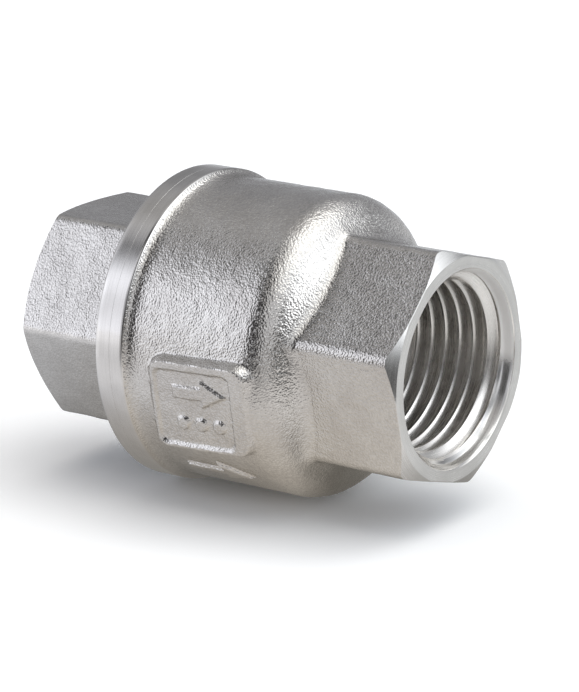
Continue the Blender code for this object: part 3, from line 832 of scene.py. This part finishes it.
gasket = ring("joint_gasket", 6.3, 7.0, 13.0, 14.0, PTFE, edge=0.08)
seat_ring = ring("soft_seat", 1.3, 3.1, 2.3, 9.1, PTFE, edge=0.2)
washer = ring("seat_washer", 0.0, 1.0, 2.3, 6.6, STAMPED, edge=0.2)
bush = lathe("stem_bush", [(15.9, 2.2), (15.9, 2.8), (19.5, 2.8), (19.5, 2.2)], PTFE_GREY,
             cols=72, edge=0.12)
disc = lathe(
    "closing_disc",
    [(3.4, 2.3), (3.4, 9.4), (1.8, 9.4), (1.8, 9.85), (2.2, 10.2), (3.8, 10.2), (4.4, 9.4),
     (5.1, 5.6), (5.1, 2.3)],
    SMALL_TURNED, cols=144, edge=[0.05, 0.15, 0.1, 0.12, 0.15, 0.25, 0.3, 0.5, 0.12],
)
# The stem: plain nose for the nut, collar against the disc, thinner tail in the bush.
stem = lathe(
    "stem_rod",
    [(-4.3, 0), (-4.3, 1.6), (-3.95, 1.97), (5.4, 1.97), (5.4, 3.4), (10.6, 3.4), (10.9, 3.1),
     (10.9, 2.0), (19.5, 2.0), (20.0, 1.5), (20.0, 0)],
    SMALL_TURNED, cols=72, closed=False,
    edge=[0, 0.06, 0.06, 0.05, 0.12, 0.08, 0.08, 0.12, 0.15, 0.15, 0],
)


def build_nut():
    """Hexagonal nut on the stem's nose."""
    front, back = -3.5, -0.3
    bore, bore_edge, face = 2.3, 2.5, 3.3
    nut = Rows()
    outer = angles(3.0, corner_zones(30, 3, 1.0))
    inner = even_angles(64)
    flats = hexagon(outer, 3.5, 90.0, 0.12)
    nut.add(inner, front + 0.2, bore)
    nut.add(inner, front, bore_edge)
    crease = front + (flats - face) * math.tan(30 * RAD)
    nut.add(outer, front, face)
    for part in (0.5, 1.0):
        nut.add(outer, front + (crease - front) * part, face + (flats - face) * part)
    for part in (0.3, 0.6, 0.9):
        nut.add(outer, crease + (-0.5 - crease) * part, flats)
    nut.add(outer, back - (flats - face) * math.tan(12 * RAD), flats)
    nut.add(outer, back, face)
    nut.add(inner, back, bore_edge)
    nut.add(inner, back - 0.2, bore)
    return nut.build("seat_nut", [SMALL_TURNED])


nut = build_nut()

# ------------------------------------------------------------------ spring


def recalculate_normals(mesh):
    with editing(mesh) as shape:
        bmesh.ops.recalc_face_normals(shape, faces=shape.faces)


def build_spring():
    """Coil spring with a closed turn at each end."""
    turns, per_turn, sides = 5.5, 60, 14
    wire, mean_r = 0.3, 4.3
    start, end = SPRING_FROM + wire, SPRING_TO - wire
    closed_pitch = 2.15 * wire
    count = int(turns * per_turn) + 1
    turn = np.linspace(0, turns, count)
    x = np.interp(turn, [0, 1, turns - 1, turns],
                  [start, start + closed_pitch, end - closed_pitch, end])
    # Round the change of pitch off.
    kernel = np.hanning(21)
    kernel /= kernel.sum()
    before = x[0] + np.arange(-10, 0) * (x[1] - x[0])
    after = x[-1] + np.arange(1, 11) * (x[-1] - x[-2])
    x = np.convolve(np.concatenate([before, x, after]), kernel, "valid")
    angle = TAU * turn
    centre = np.stack([x, mean_r * np.cos(angle), mean_r * np.sin(angle)], 1)
    tangent = np.gradient(centre, axis=0)
    tangent /= np.linalg.norm(tangent, axis=1)[:, None]
    out = np.stack([0 * angle, np.cos(angle), np.sin(angle)], 1)
    side = np.cross(tangent, out)
    section = even_angles(sides)[None, :, None]
    size = np.full(count, wire)
    size[0] = size[-1] = wire * 0.72
    around = np.cos(section) * out[:, None] + np.sin(section) * side[:, None]
    points = centre[:, None] + size[:, None, None] * around
    tips = (centre[:1] - tangent[:1] * 0.03, centre[-1:] + tangent[-1:] * 0.03)
    verts = np.concatenate([points.reshape(-1, 3), *tips]) * MM
    corners = []
    for i in range(count - 1):
        row, following = i * sides, (i + 1) * sides
        for k in range(sides):
            beside = (k + 1) % sides
            corners += [row + k, row + beside, following + beside, following + k]
    first_tip, last_tip = count * sides, count * sides + 1
    last_row = (count - 1) * sides
    for k in range(sides):
        beside = (k + 1) % sides
        corners += [beside, k, first_tip, last_row + k, last_row + beside, last_tip]
    sizes = [4] * ((count - 1) * sides) + [3] * (2 * sides)
    obj = mesh_object("coil_spring", verts, corners, sizes, [WIRE], 40.0)
    recalculate_normals(obj.data)
    return obj


spring = build_spring()

# ------------------------------------------------------------------ guide and retaining ring


def join(obj, other, operation="UNION"):
    """Boolean with the other object, which is used up."""
    modifier = obj.modifiers.new("Join", "BOOLEAN")
    modifier.operation, modifier.object, modifier.solver = operation, other, "EXACT"
    bpy.context.view_layer.update()
    graph = bpy.context.evaluated_depsgraph_get()
    mesh = bpy.data.meshes.new_from_object(obj.evaluated_get(graph))
    obj.modifiers.clear()
    obj.data = mesh
    bpy.data.objects.remove(other, do_unlink=True)


def finish(obj, metal):
    """Clean up after the booleans, and give the object its one metal."""
    with editing(obj.data) as shape:
        bmesh.ops.remove_doubles(shape, verts=shape.verts, dist=1e-6)
        bmesh.ops.dissolve_degenerate(shape, edges=shape.edges, dist=1e-6)
    obj.data.materials.clear()
    obj.data.materials.append(metal)
    obj.data.shade_smooth()
    obj.data.set_sharp_from_angle(angle=30 * RAD)


def build_arm(turn):
    """Bar with rounded edges, from the guide's hub to its rim."""
    inner, outer, middle_x = 3.9, 11.5, 16.75
    shape = bmesh.new()
    bmesh.ops.create_cube(shape, size=1.0)
    size = (1.62 * MM, (outer - inner) * MM, 2.4 * MM)
    bmesh.ops.scale(shape, vec=size, verts=shape.verts)
    lengthwise = [
        edge for edge in shape.edges if abs((edge.verts[0].co - edge.verts[1].co).y) > 1e-6]
    bmesh.ops.bevel(shape, geom=lengthwise, offset=0.35 * MM, segments=4, affect="EDGES",
                    profile=0.5)
    move = Matrix.Translation(Vector((middle_x, (inner + outer) / 2, 0)) * MM)
    matrix = Matrix.Rotation(turn * RAD, 4, "X") @ move
    bmesh.ops.transform(shape, verts=shape.verts, matrix=matrix)
    return place_shape("arm", shape)


def build_guide():
    """Three-armed guide: hub, arms and rim, bored through."""
    guide = lathe(
        "guide_insert",
        [(15.8, 2.6), (15.8, 5.4), (16.8, 5.4), (16.8, 4.6), (19.6, 4.6), (19.6, 2.6)],
        STAMPED, edge=[0, 0.2, 0.15, 0.3, 0.4, 0])
    rim = ring("guide_rim", 15.8, 17.7, 11.0, 12.5, STAMPED, edge=0.2)
    for i in range(3):
        join(guide, build_arm(90 + 120 * i))
    join(guide, rim)
    bore = lathe("guide_bore", [(15.0, 0), (15.0, 3.0), (20.5, 3.0), (20.5, 0)], STAMPED,
                 edge=0, closed=False)
    join(guide, bore, "DIFFERENCE")
    finish(guide, STAMPED)
    return guide


def build_clip():
    """Internal retaining ring: flat, open at the bottom, with two drilled ears, edges rounded."""
    middle_x, inner_r, outer_r = 15.1, 11.75, 13.3
    ear_at, ear_centre, ear_r, hole_r = 14.0 * RAD, 11.6, 1.15, 0.55
    edge, half = 0.07, 0.4
    theta = np.concatenate([np.linspace(8.5, 21, 37)[:-1], np.linspace(21, 339, 151),
                            np.linspace(339, 351.5, 37)[1:]]) * RAD
    from_ear = np.minimum(theta, TAU - theta) - ear_at
    square = ear_r ** 2 - (ear_centre * np.sin(from_ear)) ** 2
    ear = ear_centre * np.cos(from_ear) - np.sqrt(np.maximum(square, 0))
    inner = np.where(square > 0, np.minimum(ear, inner_r), inner_r)
    outer = np.full(theta.shape, outer_r)
    section = (
        (half, outer - edge), (half - edge, outer), (edge - half, outer), (-half, outer - edge),
        (-half, inner + edge), (edge - half, inner), (half - edge, inner), (half, inner + edge))
    verts = np.concatenate([
        np.stack([middle_x + x + 0 * theta, radius * np.sin(theta), -radius * np.cos(theta)], 1)
        for x, radius in section]) * MM
    count = len(theta)
    corners = []
    for i in range(8):
        row, following = i * count, (i + 1) % 8 * count
        for j in range(count - 1):
            corners += [row + j, row + j + 1, following + j + 1, following + j]
    corners += [i * count for i in range(8)]
    corners += [i * count + count - 1 for i in reversed(range(8))]
    sizes = [4] * (8 * (count - 1)) + [8, 8]
    clip = mesh_object("ring_clip", verts, corners, sizes, [WIRE], 30.0)
    recalculate_normals(clip.data)
    for side in (-1, 1):
        shape = bmesh.new()
        bmesh.ops.create_cone(shape, cap_ends=True, segments=24, radius1=hole_r * MM,
                              radius2=hole_r * MM, depth=2 * MM)
        at = Vector((middle_x, side * ear_centre * math.sin(ear_at),
                     -ear_centre * math.cos(ear_at))) * MM
        matrix = Matrix.Translation(at) @ Matrix.Rotation(90 * RAD, 4, "Y")
        bmesh.ops.transform(shape, verts=shape.verts, matrix=matrix)
        join(clip, place_shape("drill", shape), "DIFFERENCE")
    finish(clip, WIRE)
    return clip


guide = build_guide()
clip = build_clip()

# ------------------------------------------------------------------ onto the frame

# Object, CAD piece it replaces, moving body, slot.
for obj, node, body_name, slot_name in (
    (body, "body", "housing", "cast_body"),
    (cap, "end_cap", "housing", "cast_cap"),
    (gasket, "body_gasket", "housing", "ptfe_white"),
    (guide, "guide_spider", "housing", "stamped_steel"),
    (bush, "guide_bush", "housing", "ptfe_grey"),
    (clip, "guide_circlip", "housing", "spring_steel"),
    (spring, "closing_spring", "housing", "spring_steel"),
    (disc, "valve_disc", "closing_element", "turned_steel"),
    (seat_ring, "seat_ring", "closing_element", "ptfe_white"),
    (washer, "seat_ring_washer", "closing_element", "stamped_steel"),
    (nut, "seat_ring_nut", "closing_element", "turned_steel"),
    (stem, "guide_stem", "closing_element", "turned_steel"),
):
    obj.data.transform(Matrix.Translation((-MID_X * MM, 0, 0)))
    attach(obj, body_name)
    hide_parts(node)
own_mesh(spring)

# ------------------------------------------------------------------ light tables

# Brightness of the studio by direction. Columns go round the horizon in degrees: 0 is the front
# (-Y), and + is towards the outlet. Rows go up from the horizon, in degrees.
AROUND = (-180, -130, -100, -82, -68, -55, -43, -32, -20, -8,
          8, 22, 36, 50, 64, 76, 88, 102, 122, 150)
STUDIO = (
    (0, (0.73, 0.41, 0.56, 0.87, 1.17, 1.35, 1.50, 1.33, 0.40, 0.00,
         0.02, 0.35, 0.51, 0.63, 0.00, 0.00, 0.37, 1.28, 1.36, 0.81)),
    (10, (0.39, 0.30, 0.30, 0.74, 1.19, 1.26, 1.27, 1.15, 0.37, 0.00,
          0.00, 0.45, 0.80, 0.86, 0.00, 0.00, 0.99, 2.98, 2.42, 0.42)),
    (22, (0.31, 0.30, 0.31, 0.57, 1.43, 1.87, 1.42, 0.71, 0.29, 0.17,
          0.00, 0.55, 1.04, 0.99, 1.05, 0.39, 0.97, 2.86, 2.43, 0.25)),
    (34, (0.53, 0.30, 0.64, 0.78, 1.09, 0.66, 1.47, 1.18, 0.17, 0.00,
          0.00, 0.51, 0.67, 0.43, 0.67, 0.50, 1.70, 2.00, 1.40, 0.80)),
    (48, (0.54, 0.46, 0.38, 0.71, 0.53, 0.00, 0.76, 0.49, 0.00, 0.00,
          0.36, 0.63, 0.74, 1.02, 2.02, 2.00, 1.60, 1.50, 2.05, 1.88)),
    (64, (1.22, 0.29, 0.51, 0.37, 0.21, 0.00, 0.00, 0.00, 0.00, 0.00,
          0.67, 0.78, 0.62, 0.64, 2.23, 2.15, 0.91, 1.53, 2.86, 2.77)),
    (90, (1.09,) * 20),
)
# Red and blue of each column's tint, with green at 1.
TINTS = (
    (0.98, 1.06), (0.99, 1.05), (0.99, 1.05), (0.98, 1.07), (0.98, 1.09),
    (0.97, 1.09), (0.97, 1.09), (0.98, 1.08), (0.99, 1.07), (1.01, 1.06),
    (1.01, 1.04), (0.99, 1.05), (0.98, 1.05), (0.98, 1.05), (0.98, 1.03),
    (0.97, 1.05), (0.96, 1.06), (0.97, 1.05), (0.97, 1.05), (0.97, 1.05),
)

# The table top as the metal mirrors it, with rows by distance from the valve in metres. The table's
# light and shade are painted in, and the dark rows nearest the valve are a painted shadow of the
# valve.
TABLE_AROUND = (-180, -140, -100, -70, -40, -10, 20, 50, 80, 98, 110, 140)
TABLE_TOP = (
    (0.0, (0.11,) * 12),
    (0.022, (0.36, 0.26, 0.11, 0.33, 0.48, 0.62, 0.70, 0.66, 0.23, 0.26, 0.26, 0.48)),
    (0.045, (0.60, 0.47, 0.41, 0.73, 0.90, 0.83, 0.74, 0.87, 1.19, 0.85, 0.89, 0.80)),
    (0.09, (0.65, 0.60, 0.82, 1.16, 0.99, 0.05, 0.33, 0.31, 0.10, 0.10, 0.96, 0.84)),
    (0.25, (0.81, 0.59, 0.91, 1.29, 1.36, 0.00, 0.43, 0.75, 0.10, 0.15, 1.09, 0.73)),
)
TABLE_TINTS = (
    (0.98, 1.02), (0.96, 1.04), (0.97, 1.05), (0.98, 1.05), (0.99, 1.05), (1.01, 1.02),
    (1.02, 1.00), (1.02, 1.00), (1.01, 1.00), (0.99, 1.01), (0.99, 1.01), (0.98, 1.02),
)

# Colour ramps hold 0 to 1, so levels and tints are divided by these and the strength restores them.
BRIGHTEST, TINT_TOP = 5.0, 1.3
STRENGTH = BRIGHTEST * TINT_TOP


def by_azimuth(nodes, turn, around, colours):
    """A colour for each direction round the horizon."""
    node = nodes.add("ShaderNodeValToRGB", {0: turn})
    stops = node.color_ramp.elements
    stops[0].position, stops[1].position = 0.0, 1.0
    for at in around[1:]:
        stops.new((at + 180) / 360)
    for stop, colour in zip(stops, colours + colours[:1]):
        stop.color = (*colour, 1.0)
    return node.outputs[0]


def light_table(nodes, direction, place_of, around, table, tints, warm_between, warm):
    """Colour from a table of rows and columns. place_of gives the place across the rows from the
    direction's parts. Over warm_between the colour shifts to warm."""
    parts = nodes.split(direction)
    azimuth = nodes.math("ARCTAN2", parts[0], nodes.math("MULTIPLY", parts[1], -1.0))
    turn = nodes.math("ADD", nodes.math("MULTIPLY", azimuth, 1 / TAU), 0.5)
    across = place_of(parts)
    level, last = None, None
    for at, row in table:
        greys = tuple((value / BRIGHTEST,) * 3 for value in row)
        value = by_azimuth(nodes, turn, around, greys)
        if level is None:
            level = value
        else:
            part = nodes.ramp(across, between=(last, at), kind="LINEAR")
            level = nodes.mix(part, level, value)
        last = at
    colours = tuple((red / TINT_TOP, 1.0 / TINT_TOP, blue / TINT_TOP) for red, blue in tints)
    tinted = nodes.times(level, by_azimuth(nodes, turn, around, colours))
    shift = nodes.mix(nodes.ramp(across, between=warm_between), (1.0, 1.0, 1.0), warm)
    return nodes.times(tinted, shift)


# ------------------------------------------------------------------ stage

scene = bpy.context.scene
scene.view_settings.view_transform = "Standard"


def build_floor():
    """Pale floor to the camera; to every other ray it glows as the table top, with the table's
    light and shade painted in, the valve's shadow and warm shade included.
    """
    shape = bmesh.new()
    bmesh.ops.create_grid(shape, x_segments=2, y_segments=2, size=1.6)
    floor = place_shape("floor", shape)
    floor.location = (0, 0, -0.01753)
    material, nodes, shader = new_material("pale_floor")
    nodes.fill(shader, {
        "Base Color": (1.02, 1.04, 1.06, 1.0),
        "Roughness": 0.75,
        "Specular IOR Level": 0.2,
    })
    # Near the valve the glow shifts to warm: painted warm shade from the valve.
    mirrored = light_table(
        nodes, nodes.coordinates("Object"), lambda parts: nodes.length(parts[0], parts[1]),
        TABLE_AROUND, TABLE_TOP, TABLE_TINTS,
        warm_between=(0.04, 0.010), warm=(1.04, 0.985, 0.88))
    glow = nodes.add("ShaderNodeEmission", {"Color": mirrored, "Strength": STRENGTH})
    both = nodes.add("ShaderNodeMixShader",
                     {0: nodes.is_camera_ray(), 1: glow.outputs[0], 2: shader.outputs[0]})
    nodes.fill(nodes.tree.nodes["Material Output"], {"Surface": both.outputs[0]})
    floor.data.materials.append(material)


def build_floor_light():
    """Soft light from straight above, not mirrored in the metal."""
    light = bpy.data.lights.new("floor_light", "AREA")
    light.shape = "RECTANGLE"
    light.size, light.size_y = 1.0, 1.0
    light.energy = 3.2
    light.color = (1.09, 1.0, 0.89)
    obj = place("floor_light", light)
    obj.location = (0.0, 0.0, 0.9)
    down = Vector((0.0, 0.0, -0.9))
    obj.rotation_euler = down.to_track_quat("-Z", "Y").to_euler()
    obj.visible_camera = False
    obj.visible_glossy = False


def build_world():
    """Studio by direction; plain white to the camera."""
    world = bpy.data.worlds.new("studio")
    scene.world = world
    world.use_nodes = True
    nodes = Nodes(world.node_tree)
    studio = light_table(
        nodes, nodes.coordinates("Generated"),
        lambda parts: nodes.math("MULTIPLY", nodes.math("ARCSINE", parts[2]), 1 / RAD),
        AROUND, STUDIO, TINTS, warm_between=(38, 55), warm=(1.015, 1.0, 0.955))
    white = (1.0 / STRENGTH,) * 3
    colour = nodes.mix(nodes.is_camera_ray(), studio, white)
    background = nodes.tree.nodes["Background"]
    nodes.fill(background, {"Color": colour, "Strength": STRENGTH})


def build_camera():
    """Long lens in front of the outlet end, looking down at the valve."""
    azimuth, elevation, roll = 35.625 * RAD, 16.379 * RAD, -0.627 * RAD
    data = bpy.data.cameras.new("camera")
    data.lens = 177.4
    data.sensor_width = 36.0
    data.clip_start = 0.01
    camera = place("camera", data)
    right = Vector((math.cos(azimuth), math.sin(azimuth), 0))
    back = Vector((math.sin(azimuth) * math.cos(elevation),
                   -math.cos(azimuth) * math.cos(elevation), math.sin(elevation)))
    up = back.cross(right)
    spin = Matrix.Rotation(roll, 3, back)
    camera.matrix_world = Matrix((spin @ right, spin @ up, back)).transposed().to_4x4()
    camera.location = Vector((220.885 - MID_X, -292.340, 104.720)) * MM
    scene.camera = camera


build_floor()
build_floor_light()
build_world()
build_camera()
